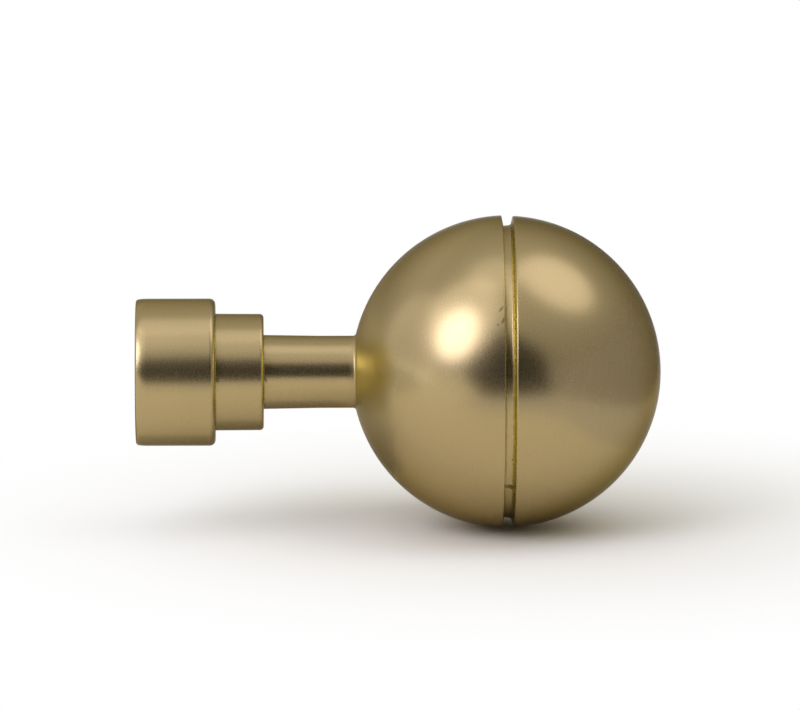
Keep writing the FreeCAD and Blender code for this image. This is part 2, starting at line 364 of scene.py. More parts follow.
def round_axis(x, turn, radius):
    """A place in metres: turn is in degrees from the top towards the front."""
    turn = math.radians(turn)
    return Vector((x, -math.sin(turn) * radius, math.cos(turn) * radius)) * MM


# %% Cut the step
bpy.ops.object.select_all(action="DESELECT")
bpy.ops.mesh.primitive_cube_add(size=1)
wedge = bpy.context.object
WEDGE_TOP = 33.1
WEDGE_CLEARANCE = 0.02
# Each end: its x, the turns where it starts and stops, the floor's radius there, and its depth
WEDGE_ENDS = {
    -1: (65.25, 130.8, 132.4, SPIGOT_R, 0.2),
    1: (67.15, 129.2, 133.5, FLOOR_END_R + 0.01, 0.42),
}
for corner in wedge.data.vertices:
    side_x, side_turn, side_r = (1 if value > 0 else -1 for value in corner.co)
    x, turn_from, turn_to, floor_r, step_depth = WEDGE_ENDS[side_x]
    foot = floor_r - step_depth if side_turn > 0 else floor_r + WEDGE_CLEARANCE
    corner.co = round_axis(
        x, turn_to if side_turn > 0 else turn_from, WEDGE_TOP if side_r > 0 else foot
    )
pick(wedge, lambda _: True)
bpy.ops.mesh.normals_make_consistent(inside=False)
bpy.ops.object.mode_set(mode="OBJECT")
cut(cap, wedge)
print("the cap has", len(cap.data.polygons), "faces with its step")

# %% [markdown]
# ## The grub screw
#
# A set screw in the back of the collar holds the finial on its pole. It is 2 mm of M3 rod with a
# 60 degree thread of 0.5 mm pitch, a hexagon socket and a cup point. Its section is drawn with
# Extrude and spun round its own axis. The thread stands as three rings, because its slope of
# three degrees doesn't show in so short a rod, and rings spin closed where a helix needs its ends
# mended. The socket is a six-sided cylinder taken out with a Boolean modifier.

# %% Drill the collar
SCREW_X = -8.0
SCREW_R = 1.45
SCREW_FROM = 14.2
SCREW_TO = 16.2
HOLE_R = 1.5
HOLE_SIDES = 64
SINK_REACH = 0.4


def rod(sides, radius, y_from, y_to, radius_to=None):
    """A cylinder or cone along Y, on the screw's axis, from y_from to y_to."""
    bpy.ops.object.select_all(action="DESELECT")
    bpy.ops.mesh.primitive_cone_add(
        vertices=sides,
        radius1=radius * MM,
        radius2=(radius if radius_to is None else radius_to) * MM,
        depth=(y_to - y_from) * MM,
        location=(SCREW_X * MM, (y_from + y_to) / 2 * MM, 0),
        rotation=(-math.pi / 2, 0, 0),
    )
    bpy.ops.object.transform_apply(location=True, rotation=True, scale=True)
    return bpy.context.object


cut(casting, rod(HOLE_SIDES, HOLE_R, SCREW_FROM - 2, COLLAR_R + 1))
sink_from, sink_to = COLLAR_R - SINK_REACH, COLLAR_R + SINK_REACH
cut(casting, rod(HOLE_SIDES, HOLE_R - 0.1, sink_from, sink_to, radius_to=HOLE_R + 0.7))
print("the collar has", len(casting.data.polygons), "faces once it is drilled")

# %% Turn the screw
PITCH = 0.5
THREAD_R = 1.15
THREAD_RINGS = 3
THREAD_FROM = SCREW_FROM + 0.25
CREST = 0.03
CUP_R = 0.75
CUP_DEPTH = 0.35
SCREW_STEPS = 48


def across(radius, y):
    """A point of the screw's section: radius out from its axis towards +X, at y."""
    return Vector(((SCREW_X + radius) * MM, y * MM, 0))


outline = [across(CUP_R, SCREW_FROM), across(THREAD_R, SCREW_FROM)]
for ring in range(THREAD_RINGS):
    foot = THREAD_FROM + ring * PITCH
    outline += [
        across(SCREW_R, foot + PITCH / 2 - CREST),
        across(SCREW_R, foot + PITCH / 2 + CREST),
        across(THREAD_R, foot + PITCH),
    ]
outline += [across(THREAD_R, SCREW_TO), across(0, SCREW_TO)]
bpy.ops.object.select_all(action="DESELECT")
bpy.ops.mesh.primitive_plane_add(size=MM)
screw = bpy.context.object
screw.name = "grub_screw_dressed"
pick(screw, lambda _: True)
bpy.ops.mesh.merge(type="CENTER")
bpy.ops.object.mode_set(mode="OBJECT")
cup_bottom = across(0, SCREW_FROM + CUP_DEPTH)
screw.data.vertices[0].co = cup_bottom
draw_on(screw, cup_bottom, *outline)
spin(screw, axis=(0, 1, 0), centre=across(0, 0), steps=SCREW_STEPS)

# %% Cut the hexagon socket
HEX_ACROSS = 1.5
HEX_DEPTH = 1.0
cut(screw, rod(6, HEX_ACROSS / math.sqrt(3), SCREW_TO - HEX_DEPTH, SCREW_TO + 1))
print("the screw has", len(screw.data.polygons), "faces with its socket")

# %% [markdown]
# ## Smooth faces
#
# Everything smoother than 30 degrees is shaded smooth, and a Weighted Normal modifier lets the
# large faces decide the shading, so that the narrow rounds don't bend the light on the ball.

# %% Shade the pieces
SMOOTH_BELOW = 30
FACE_WEIGHT = 80
for piece in (casting, cap, screw):
    alone(piece)
    bpy.ops.object.shade_smooth_by_angle(angle=math.radians(SMOOTH_BELOW))
    weighted = piece.modifiers.new("weighted", "WEIGHTED_NORMAL")
    weighted.keep_sharp = True
    weighted.weight = FACE_WEIGHT
    bpy.ops.object.modifier_apply(modifier=weighted.name)
    print(piece.name, "is shaded smooth below", SMOOTH_BELOW, "degrees")

# %% [markdown]
# ## Satin brass
#
# The finial is spun with fine abrasive and lacquered. Three things make that look: a fine grain
# that blurs reflections, faint rings left by the lathe, and a colour that drifts a little. The
# rings follow the turned surface, so they need a coordinate that grows along the section. The sum
# of the place along the axis and the radius does, on flat faces, cylinders and the rear half of
# the ball alike, and on the cap the radius is taken off instead.

# %% Helpers for node trees


def wire(tree, *pairs):
    """Links output sockets to input sockets."""
    for source, target in pairs:
        tree.links.new(source, target)


def math_node(tree, operation, *values):
    """A Math node whose inputs are sockets or numbers."""
    node = tree.nodes.new("ShaderNodeMath")
    node.operation = operation
    for socket, value in zip(node.inputs, values):
        if isinstance(value, bpy.types.NodeSocket):
            tree.links.new(value, socket)
        else:
            socket.default_value = value
    return node.outputs[0]


def length_node(tree, one, other):
    """The length of a line that goes so far one way and so far across it."""
    squares = (math_node(tree, "MULTIPLY", run, run) for run in (one, other))
    return math_node(tree, "SQRT", math_node(tree, "ADD", *squares))


def vector_node(tree, operation, *vectors):
    """The outputs of a Vector Math node whose inputs are sockets."""
    node = tree.nodes.new("ShaderNodeVectorMath")
    node.operation = operation
    for socket, vector in zip(node.inputs, vectors):
        tree.links.new(vector, socket)
    return node.outputs


def ramp_node(tree, value, low, high):
    """A smooth run from 0 at low to 1 at high, held beyond them; both may be sockets."""
    node = tree.nodes.new("ShaderNodeMapRange")
    node.interpolation_type = "SMOOTHSTEP"
    tree.links.new(value, node.inputs["Value"])
    for name, limit in (("From Min", low), ("From Max", high)):
        if isinstance(limit, bpy.types.NodeSocket):
            tree.links.new(limit, node.inputs[name])
        else:
            node.inputs[name].default_value = limit
    return node.outputs["Result"]


def noise_node(tree, vector, scale, detail, roughness):
    """A noise texture's value at a vector."""
    node = tree.nodes.new("ShaderNodeTexNoise")
    node.inputs["Scale"].default_value = scale
    node.inputs["Detail"].default_value = detail
    node.inputs["Roughness"].default_value = roughness
    tree.links.new(vector, node.inputs["Vector"])
    return node.outputs[0]


# %% The spun finish as a node group
RING_SCALE = 3500
ROUND_SCALE = 90
GRAIN_SCALE = 4500
DRIFT_SCALE = 70


def make_spun_group():
    """Object coordinates in; ring height, grain height, a slow drift and the radius out."""
    tree = bpy.data.node_groups.new("spun_finish", "ShaderNodeTree")
    face = tree.interface
    face.new_socket("Place", in_out="INPUT", socket_type="NodeSocketVector")
    face.new_socket("Radius Sign", in_out="INPUT", socket_type="NodeSocketFloat")
    for name in ("Rings", "Grain", "Drift", "Radius"):
        face.new_socket(name, in_out="OUTPUT", socket_type="NodeSocketFloat")
    inside = tree.nodes.new("NodeGroupInput")
    outside = tree.nodes.new("NodeGroupOutput")
    split = tree.nodes.new("ShaderNodeSeparateXYZ")
    tree.links.new(inside.outputs["Place"], split.inputs[0])
    x, y, z = split.outputs
    radius = length_node(tree, y, z)
    signed = math_node(tree, "MULTIPLY", radius, inside.outputs["Radius Sign"])
    along = math_node(tree, "ADD", x, signed)
    stretched = tree.nodes.new("ShaderNodeCombineXYZ")
    wire(
        tree,
        (math_node(tree, "MULTIPLY", along, RING_SCALE), stretched.inputs[0]),
        (math_node(tree, "MULTIPLY", y, ROUND_SCALE), stretched.inputs[1]),
        (math_node(tree, "MULTIPLY", z, ROUND_SCALE), stretched.inputs[2]),
    )
    place = inside.outputs["Place"]
    wire(
        tree,
        (noise_node(tree, stretched.outputs[0], 1.0, 3.0, 0.6), outside.inputs["Rings"]),
        (noise_node(tree, place, GRAIN_SCALE, 2.0, 0.6), outside.inputs["Grain"]),
        (noise_node(tree, place, DRIFT_SCALE, 3.0, 0.5), outside.inputs["Drift"]),
        (radius, outside.inputs["Radius"]),
    )
    return tree


spun_group = make_spun_group()
print("the spun finish puts out", [s.name for s in spun_group.interface.items_tree][2:])

# %% [markdown]
# ## Marks of use and painted shade
#
# The finial has small marks of use: two short dents and a spot on the rear lip of the groove,
# and specks at the foot of its front wall. Painted crevice shade is added too: dark ragged flecks
# and strokes in the inside corners of the stem, and a dark painted shade along the step in the
# groove's floor. One node group makes a short ragged stroke at a given place, and a second one
# darkens an inside corner all the way round, broken up by noise. Each gives a mask, and the brass
# turns dark and dull by it.

# %% The stroke mask as a node group
RAGGED_SCALE = 2500
RAGGED = 1.6
STROKE_EDGE = 2.0
STROKE_FULL = 0.8


def new_group(name, vectors, floats, result):
    """An empty node group with vector and float inputs and one float output."""
    tree = bpy.data.node_groups.new(name, "ShaderNodeTree")
    face = tree.interface
    for label in vectors:
        face.new_socket(label, in_out="INPUT", socket_type="NodeSocketVector")
    for label in floats:
        face.new_socket(label, in_out="INPUT", socket_type="NodeSocketFloat")
    face.new_socket(result, in_out="OUTPUT", socket_type="NodeSocketFloat")
    inside = tree.nodes.new("NodeGroupInput")
    return tree, inside.outputs, tree.nodes.new("NodeGroupOutput").inputs[0]


def make_stroke_group():
    """1 inside a short ragged stroke along Direction through Centre, 0 outside it."""
    tree, given, result = new_group(
        "ragged_stroke",
        ("Place", "Centre", "Direction"),
        ("Half Length", "Half Width"),
        "Mask",
    )
    offset = vector_node(tree, "SUBTRACT", given["Place"], given["Centre"])[0]
    along = vector_node(tree, "DOT_PRODUCT", offset, given["Direction"])["Value"]
    whole = vector_node(tree, "DOT_PRODUCT", offset, offset)["Value"]
    along_square = math_node(tree, "MULTIPLY", along, along)
    aside_square = math_node(tree, "SUBTRACT", whole, along_square)
    length_square = math_node(tree, "POWER", given["Half Length"], 2.0)
    width_square = math_node(tree, "POWER", given["Half Width"], 2.0)
    size = math_node(
        tree,
        "ADD",
        math_node(tree, "DIVIDE", along_square, length_square),
        math_node(tree, "DIVIDE", aside_square, width_square),
    )
    noise = noise_node(tree, given["Place"], RAGGED_SCALE, 3.0, 0.6)
    ragged = math_node(tree, "MULTIPLY_ADD", noise, RAGGED, size)
    tree.links.new(ramp_node(tree, ragged, STROKE_EDGE, STROKE_FULL), result)
    return tree


# %% The corner mask as a node group
FLECK_SCALE = 700
FLECK_EDGE = 0.42
FLECK_FULL = 0.6


def make_corner_group():
    """1 in an inside corner that runs round the axis, fading over Reach, in broken flecks."""
    tree, given, result = new_group(
        "darkened_corner",
        ("Place",),
        ("Radius", "Corner X", "Corner Radius", "Reach"),
        "Mask",
    )
    split = tree.nodes.new("ShaderNodeSeparateXYZ")
    tree.links.new(given["Place"], split.inputs[0])
    run = math_node(tree, "SUBTRACT", split.outputs["X"], given["Corner X"])
    lift = math_node(tree, "SUBTRACT", given["Radius"], given["Corner Radius"])
    away = length_node(tree, run, lift)
    close = math_node(tree, "SUBTRACT", 1.0, ramp_node(tree, away, 0.0, given["Reach"]))
    noise = noise_node(tree, given["Place"], FLECK_SCALE, 4.0, 0.7)
    flecks = ramp_node(tree, noise, FLECK_EDGE, FLECK_FULL)
    tree.links.new(math_node(tree, "MULTIPLY", close, flecks), result)
    return tree


stroke_group = make_stroke_group()
corner_group = make_corner_group()
print("two masks are ready:", stroke_group.name, "and", corner_group.name)

# %% Where the marks and the painted shade are, in millimetres
# Each stroke: where it starts, where it ends, and half its width
CASTING_STROKES = (
    ((63.75, -28.94, 18.43), (64.54, -28.40, 19.33), 0.28),
    ((64.19, -30.44, 15.88), (64.83, -29.75, 17.21), 0.28),
    ((63.30, -30.55, 15.50), (63.45, -30.45, 15.80), 0.22),
    # The last two strokes are painted crevice shade in the front corners of the step and the neck
    ((2.20, -12.80, 0.95), (2.60, -12.84, 0.35), 0.50),
    ((12.70, -8.08, 0.25), (13.10, -8.07, -0.50), 0.46),
)
# Each corner: its place along the axis, its radius, and how far the darkening reaches
# On the stem, these corners carry painted crevice shade in ragged flecks
CASTING_CORNERS = ((STEP_X, STEP_R, 0.30), (NECK_X, NECK_ROOT_R, 0.34))
CAP_STROKES = (
    ((66.60, -29.00, -14.20), (66.75, -28.80, -14.60), 0.22),
    ((66.85, -28.40, -15.30), (66.90, -28.20, -15.70), 0.24),
    ((67.10, -27.60, -16.90), (67.10, -27.40, -17.20), 0.24),
    # The long last stroke is painted shade along the step in the groove's floor
    ((65.90, -24.20, -21.00), (67.10, -24.25, -21.20), 0.80),
)
CAP_CORNERS = ((FLOOR_END_X, FLOOR_END_R, 0.36),)
print(len(CASTING_STROKES) + len(CAP_STROKES), "strokes in all")

# %% [markdown]
# ## The brass itself
#
# The brass is a metal with a thin lacquer coat. Its base colour holds what the photograph shows on
# open faces. Real brass is lighter than that and the studio around it darker, which only shows
# where one part of the finial mirrors another, by the neck and inside the groove. So a mirrored
# face is given the lighter colour, by Light Path's Is Glossy Ray, and those places glow yellow.
# The groove's front wall mirrors nothing but brass, so a lighter colour is painted on it as a
# painted reflection of that brass. A buffing wheel doesn't reach the ball beside the neck, so the
# brass is duller there.

# %% Helpers for mixing colours and placing groups


def mix_colour(tree, factor, one, other):
    """Mixes two colours, given as sockets or values, and returns the result."""
    node = tree.nodes.new("ShaderNodeMix")
    node.data_type = "RGBA"
    tree.links.new(factor, node.inputs["Factor"])
    for name, colour in (("A", one), ("B", other)):
        if isinstance(colour, bpy.types.NodeSocket):
            tree.links.new(colour, node.inputs[name])
        else:
            node.inputs[name].default_value = (*colour, 1)
    return node.outputs["Result"]


def group_node(tree, group, **values):
    """Places a node group; values are sockets, numbers or vectors for its inputs."""
    node = tree.nodes.new("ShaderNodeGroup")
    node.node_tree = group
    for label, value in values.items():
        socket = node.inputs[label.replace("_", " ")]
        if isinstance(value, bpy.types.NodeSocket):
            tree.links.new(value, socket)
        else:
            socket.default_value = value
    return node.outputs


# %% Helpers for the marks and the relief
RELIEF_UNIT = 0.01 * MM


def marks_and_painted_shade(tree, where, radius, strokes, corners):
    """The strongest of all these marks and painted shade at each place."""
    masks = []
    for start, end, half_width in strokes:
        start, end = Vector(start) * MM, Vector(end) * MM
        stroke = group_node(
            tree,
            stroke_group,
            Place=where,
            Centre=(start + end) / 2,
            Direction=(end - start).normalized(),
            Half_Length=(end - start).length / 2 + half_width * MM,
            Half_Width=half_width * MM,
        )
        masks.append(stroke["Mask"])
    for x, corner_radius, reach in corners:
        corner = group_node(
            tree,
            corner_group,
            Place=where,
            Radius=radius,
            Corner_X=x * MM,
            Corner_Radius=corner_radius * MM,
            Reach=reach * MM,
        )
        masks.append(corner["Mask"])
    strongest = masks[0]
    for mask in masks[1:]:
        strongest = math_node(tree, "MAXIMUM", strongest, mask)
    return strongest


def add_bump(tree, height, strength):
    """Lets a height in relief units tilt the shading."""
    bump = tree.nodes.new("ShaderNodeBump")
    bump.inputs["Strength"].default_value = strength
    bump.inputs["Distance"].default_value = RELIEF_UNIT
    shader = tree.nodes["Principled BSDF"]
    wire(
        tree,
        (height, bump.inputs["Height"]),
        (bump.outputs["Normal"], shader.inputs["Normal"]),
    )


# %% Masks for the groove's wall and the unbuffed place
WALL_FOOT_X = FLOOR_END_X - 0.25
WALL_TOP_R = FRONT_R - 0.05
WALL_FULL_R = FRONT_R - 0.3
BALL_FROM_X = 31
BALL_FULL_X = 33
UNBUFFED_FROM_R = 25
UNBUFFED_FULL_R = 13


# The painted reflection of brass goes on the groove's front wall, where this mask is 1
def painted_wall_reflection_mask(tree, x, radius):
    """1 on the groove's front wall: ahead of its foot, and below the ball's surface."""
    ahead = ramp_node(tree, x, WALL_FOOT_X * MM, FLOOR_END_X * MM)
    from_centre = math_node(tree, "SUBTRACT", x, FRONT_X * MM)
    from_centre = length_node(tree, from_centre, radius)
    below = ramp_node(tree, from_centre, WALL_TOP_R * MM, WALL_FULL_R * MM)
    return math_node(tree, "MULTIPLY", ahead, below)


def beside_the_neck(tree, x, radius):
    """1 on the rear half of the ball close to the neck, and 0 on its broad part."""
    on_the_ball = ramp_node(tree, x, BALL_FROM_X * MM, BALL_FULL_X * MM)
    by_the_neck = ramp_node(tree, radius, UNBUFFED_FROM_R * MM, UNBUFFED_FULL_R * MM)
    beside = math_node(tree, "MULTIPLY", on_the_ball, by_the_neck)
    rear_half = math_node(tree, "LESS_THAN", x, BALL_X * MM)
    return math_node(tree, "MULTIPLY", beside, rear_half)


# %% Satin brass
BRASS = (0.43, 0.324, 0.146)
BRASS_WORN = (0.46, 0.350, 0.162)
MIRRORED_BY_NECK = (0.84, 0.78, 0.29)
MIRRORED_IN_GROOVE = (1.0, 0.94, 0.45)
# A painted reflection: the lighter colour of brass mirrored in brass, laid on the groove's front
# wall
GROOVE_WALL_PAINTED_REFLECTION = (0.66, 0.54, 0.34)
# The dark colour of real marks, used also for the painted shade in the stem's corners and the step
MARK_AND_SHADE_COLOUR = (0.10, 0.06, 0.02)
MARK_AND_SHADE_STRENGTH = 0.7
EDGE_TINT = (0.35, 0.30, 0.18)
LACQUER = 0.3
LACQUER_LOST = 0.28
LACQUER_ROUGHNESS = 0.3
SATIN = 0.25
RING_ROUGHNESS = 0.015
GRAIN_ROUGHNESS = 0.025
UNBUFFED_ROUGHNESS = 0.15
MARK_AND_SHADE_ROUGHNESS = 0.1
MARK_AND_SHADE_DEPTH = 8.0
BRASS_RELIEF = 0.012


def satin_brass(name, radius_sign, mirrored_colour, strokes, corners):
    """Lacquered satin brass whose rings follow x plus the radius, or x less the radius."""
    material = bpy.data.materials.new(name)
    material.use_nodes = True
    tree = material.node_tree
    shader = tree.nodes["Principled BSDF"]
    shader.inputs["Metallic"].default_value = 1.0
    shader.inputs["Specular Tint"].default_value = (*EDGE_TINT, 1)
    shader.inputs["Coat Roughness"].default_value = LACQUER_ROUGHNESS
    where = tree.nodes.new("ShaderNodeTexCoord").outputs["Object"]
    split = tree.nodes.new("ShaderNodeSeparateXYZ")
    tree.links.new(where, split.inputs[0])
    x = split.outputs["X"]
    spun = group_node(tree, spun_group, Place=where, Radius_Sign=radius_sign)
    rings, grain, radius = spun["Rings"], spun["Grain"], spun["Radius"]
    # One mask for the real marks and the painted shade alike
    marks_and_shade = marks_and_painted_shade(tree, where, radius, strokes, corners)
    mirrored = tree.nodes.new("ShaderNodeLightPath").outputs["Is Glossy Ray"]

    brass = mix_colour(tree, spun["Drift"], BRASS, BRASS_WORN)
    # Painted reflection: the groove's front wall turns lighter, as if lit by the brass it mirrors
    brass = mix_colour(tree, painted_wall_reflection_mask(tree, x, radius), brass, GROOVE_WALL_PAINTED_REFLECTION)
    brass = mix_colour(tree, mirrored, brass, mirrored_colour)
    marked_and_shaded = math_node(tree, "MULTIPLY", marks_and_shade, MARK_AND_SHADE_STRENGTH)
    brass = mix_colour(tree, marked_and_shaded, brass, MARK_AND_SHADE_COLOUR)
    tree.links.new(brass, shader.inputs["Base Color"])
    coat = math_node(tree, "MULTIPLY_ADD", marks_and_shade, -LACQUER_LOST, LACQUER)
    tree.links.new(coat, shader.inputs["Coat Weight"])

    rough = math_node(tree, "MULTIPLY_ADD", rings, RING_ROUGHNESS, SATIN)
    rough = math_node(tree, "MULTIPLY_ADD", grain, GRAIN_ROUGHNESS, rough)
    unbuffed = beside_the_neck(tree, x, radius)
    rough = math_node(tree, "MULTIPLY_ADD", unbuffed, UNBUFFED_ROUGHNESS, rough)
    rough = math_node(tree, "MULTIPLY_ADD", marks_and_shade, MARK_AND_SHADE_ROUGHNESS, rough)
    tree.links.new(rough, shader.inputs["Roughness"])

    relief = math_node(tree, "ADD", rings, grain)
    relief = math_node(tree, "MULTIPLY_ADD", marks_and_shade, -MARK_AND_SHADE_DEPTH, relief)
    add_bump(tree, relief, BRASS_RELIEF)
    print(name, "has", len(tree.nodes), "nodes")
    return material


casting_brass = satin_brass(
    "satin_brass_casting", 1.0, MIRRORED_BY_NECK, CASTING_STROKES, CASTING_CORNERS
)
cap_brass = satin_brass("satin_brass_cap", -1.0, MIRRORED_IN_GROOVE, CAP_STROKES, CAP_CORNERS)

# %% [markdown]
# ## Blackened steel
#
# The screw is dark steel. Its black oxide has rubbed thin in patches, which are lighter and
# smoother, and the same fine grain as on the brass keeps it from looking like plastic.

# %% The screw's steel
OXIDE = (0.07, 0.068, 0.066)
BARE_STEEL = (0.26, 0.255, 0.25)
RUB_SCALE = 900
RUB_EDGE = 0.45
RUB_FULL = 0.75
OXIDE_ROUGHNESS = 0.42
RUBBED_SMOOTHER = 0.12
STEEL_RELIEF = 0.1
steel = bpy.data.materials.new("screw_steel")
steel.use_nodes = True
tree = steel.node_tree
shader = tree.nodes["Principled BSDF"]
shader.inputs["Metallic"].default_value = 1.0
where = tree.nodes.new("ShaderNodeTexCoord").outputs["Object"]
rubbed = ramp_node(tree, noise_node(tree, where, RUB_SCALE, 4.0, 0.6), RUB_EDGE, RUB_FULL)
tree.links.new(mix_colour(tree, rubbed, OXIDE, BARE_STEEL), shader.inputs["Base Color"])
dullness = math_node(tree, "MULTIPLY_ADD", rubbed, -RUBBED_SMOOTHER, OXIDE_ROUGHNESS)
tree.links.new(dullness, shader.inputs["Roughness"])
grain = group_node(tree, spun_group, Place=where, Radius_Sign=1.0)["Grain"]
add_bump(tree, grain, STEEL_RELIEF)
print("the steel mixes", OXIDE, "with", BARE_STEEL)

# %% [markdown]
# ## Onto the frame
#
# Each dressed piece rides on the part's one body and stands for the node of the same name, which
# is hidden and stays as the solid that is simulated.

# %% Put each piece on the frame
for piece, node, material, slot in (
    (casting, "socket_casting", casting_brass, "satin_brass"),
    (cap, "front_cap", cap_brass, "satin_brass"),
    (screw, "grub_screw", steel, "screw_steel"),
):
    piece.data.materials.clear()
    piece.data.materials.append(material)
    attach(piece, "root")
    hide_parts(node)
    print(piece.name, "stands for", node)

# %% [markdown]
# ## Camera
#
# The photograph was taken with a long lens from slightly above, so the collar and the ball are
# drawn at nearly the same scale. The camera is placed by the direction it looks in and the point
# it aims at, and the lens follows from the picture's width in pixels.

# %% The camera
PHOTO_WIDTH = 800
FOCAL_PIXELS = 8000
SENSOR = 36.0
CAMERA_DISTANCE = 1.761
CAMERA_YAW = 0.8
CAMERA_RISE = 10.0
AIM = Vector((42.61, 0, 3.72)) * MM


def direction(yaw, rise):
    """The way from the finial to something, yaw degrees left of the front and rise degrees up."""
    yaw, rise = math.radians(yaw), math.radians(rise)
    return Vector(
        (-math.sin(yaw) * math.cos(rise), -math.cos(yaw) * math.cos(rise), math.sin(rise))
    )


bpy.ops.object.camera_add()
camera = bpy.context.object
camera.data.sensor_width = SENSOR
camera.data.lens = SENSOR * FOCAL_PIXELS / PHOTO_WIDTH
to_camera = direction(CAMERA_YAW, CAMERA_RISE)
camera.location = AIM + to_camera * CAMERA_DISTANCE
camera.rotation_euler = (-to_camera).to_track_quat("-Z", "Y").to_euler()
bpy.context.scene.camera = camera
print("the lens is", camera.data.lens, "mm")

# %% [markdown]
# ## Floor and backdrop
#
# Polished metal shows the room more than itself. The finial lies over a pale floor inside a round
# white backdrop. The floor fades into white with distance in its material, so no extra light is
# needed and it keeps its shadow. For the camera the fade starts nearer than for reflections,
# because the finial's underside has to mirror a broad pale floor.

# %% Helpers for the studio's materials
FLOOR_Z = -34.8 * MM
MIDDLE = Vector((BALL_X * MM, 0, 0))


def stage_material(name, colour):
    """A plain matt material for the studio."""
    material = bpy.data.materials.new(name)
    material.use_nodes = True
    shader = material.node_tree.nodes["Principled BSDF"]
    shader.inputs["Base Color"].default_value = (*colour, 1)
    shader.inputs["Roughness"].default_value = 0.9
    shader.inputs["Specular IOR Level"].default_value = 0.1
    return material


def seen_directly(tree):
    """1 for what the camera, a reflection or glass sees, and 0 for light on its way."""
    path = tree.nodes.new("ShaderNodeLightPath")
    seen = math_node(
        tree, "MAXIMUM", path.outputs["Is Camera Ray"], path.outputs["Is Glossy Ray"]
    )
    return math_node(tree, "MAXIMUM", seen, path.outputs["Is Transmission Ray"])


# %% The floor
FLOOR_COLOUR = (0.94, 0.92, 0.80)
FLOOR_SIZE = 3.4
STUDIO_SIDES = 96
FADE_FROM = 0.07
FADE_TO = 0.45
CAMERA_FADE = 2.2
floor_material = stage_material("floor_white", FLOOR_COLOUR)
tree = floor_material.node_tree
shader = tree.nodes["Principled BSDF"]
output = tree.nodes["Material Output"]
place = tree.nodes.new("ShaderNodeTexCoord").outputs["Object"]
away = vector_node(tree, "LENGTH", place)["Value"]
by_camera = tree.nodes.new("ShaderNodeLightPath").outputs["Is Camera Ray"]
quicker = math_node(tree, "MULTIPLY_ADD", by_camera, CAMERA_FADE, 1.0)
fade = ramp_node(tree, math_node(tree, "MULTIPLY", away, quicker), FADE_FROM, FADE_TO)
white = tree.nodes.new("ShaderNodeEmission")
blend = tree.nodes.new("ShaderNodeMixShader")
wire(
    tree,
    (math_node(tree, "MULTIPLY", fade, seen_directly(tree)), blend.inputs[0]),
    (shader.outputs[0], blend.inputs[1]),
    (white.outputs[0], blend.inputs[2]),
    (blend.outputs[0], output.inputs["Surface"]),
)
bpy.ops.object.select_all(action="DESELECT")
bpy.ops.mesh.primitive_circle_add(
    vertices=STUDIO_SIDES,
    radius=FLOOR_SIZE,
    fill_type="NGON",
    location=(MIDDLE.x, 0, FLOOR_Z),
)
floor = bpy.context.object
floor.name = "floor"
floor.data.materials.append(floor_material)
print("the floor lies at", round(FLOOR_Z / MM, 1), "mm, under the ball")

# %% The backdrop
BACKDROP_HEIGHT = 0.4
backdrop_material = bpy.data.materials.new("backdrop_white")
backdrop_material.use_nodes = True
tree = backdrop_material.node_tree
tree.nodes.remove(tree.nodes["Principled BSDF"])
glow = tree.nodes.new("ShaderNodeEmission")
wire(
    tree,
    (seen_directly(tree), glow.inputs["Strength"]),
    (glow.outputs[0], tree.nodes["Material Output"].inputs["Surface"]),
)
bpy.ops.object.select_all(action="DESELECT")
bpy.ops.mesh.primitive_cylinder_add(
    vertices=STUDIO_SIDES,
    radius=FLOOR_SIZE,
    depth=BACKDROP_HEIGHT,
    end_fill_type="NOTHING",
    location=(MIDDLE.x, 0, FLOOR_Z + BACKDROP_HEIGHT / 2),
)
backdrop = bpy.context.object
backdrop.name = "backdrop"
backdrop.data.materials.append(backdrop_material)
print("the backdrop is", BACKDROP_HEIGHT, "m high")

# %% [markdown]
# ## Cards
#
# A photographer stands dark and grey cards round bright metal to give it edges. Only reflections
# see these. The black one in front gives the dark band along the stem and the dark patch on the
# ball. The grey ones at the sides shade the ball's left and right, and the three that lie just
# over the floor shade the undersides. Each is a circle primitive whose corners are moved.

# %% A helper for the cards


def flag(name, shade, corners):
    """A matt card that only reflections see; corners are its places in metres."""
    bpy.ops.object.select_all(action="DESELECT")
    bpy.ops.mesh.primitive_circle_add(vertices=len(corners), radius=1, fill_type="NGON")
    card = bpy.context.object
    card.name = name
    for vertex, corner in zip(card.data.vertices, corners):
        vertex.co = corner
    card.data.materials.append(stage_material(name, (shade, shade, shade)))
    card.visible_camera = False
    card.visible_diffuse = False
    card.visible_shadow = False
    print(name, "has", len(corners), "corners and a shade of", shade)


# %% Cards that stand
FLAG_Y = -0.28
flag(
    "front_flag",
    0.03,
    (
        (-0.107, FLAG_Y, 0.035),
        (-0.03, FLAG_Y, FLOOR_Z),
        (0.234, FLAG_Y, FLOOR_Z),
        (0.215, FLAG_Y, 0.12),
        (0.052, FLAG_Y, 0.235),
        (-0.102, FLAG_Y, 0.07),
    ),
)
flag(
    "right_flag",
    0.47,
    (
        (0.26, -0.45, FLOOR_Z),
        (0.18, 0.03, FLOOR_Z),
        (0.235, 1.6, FLOOR_Z),
        (0.235, 1.6, 0.16),
        (0.18, 0.03, 0.045),
        (0.26, -0.45, 0.06),
    ),
)
flag(
    "left_flag",
    0.5,
    (
        (-0.06, 0.15, FLOOR_Z),
        (-0.10, 1.6, FLOOR_Z),
        (-0.10, 1.6, 0.16),
        (-0.06, 0.15, 0.02),
    ),
)
flag(
    "left_front_flag",
    0.85,
    (
        (-0.22, -0.13, FLOOR_Z),
        (-0.06, 0.15, FLOOR_Z),
        (-0.06, 0.15, 0.02),
        (-0.22, -0.13, 0.01),
    ),
)

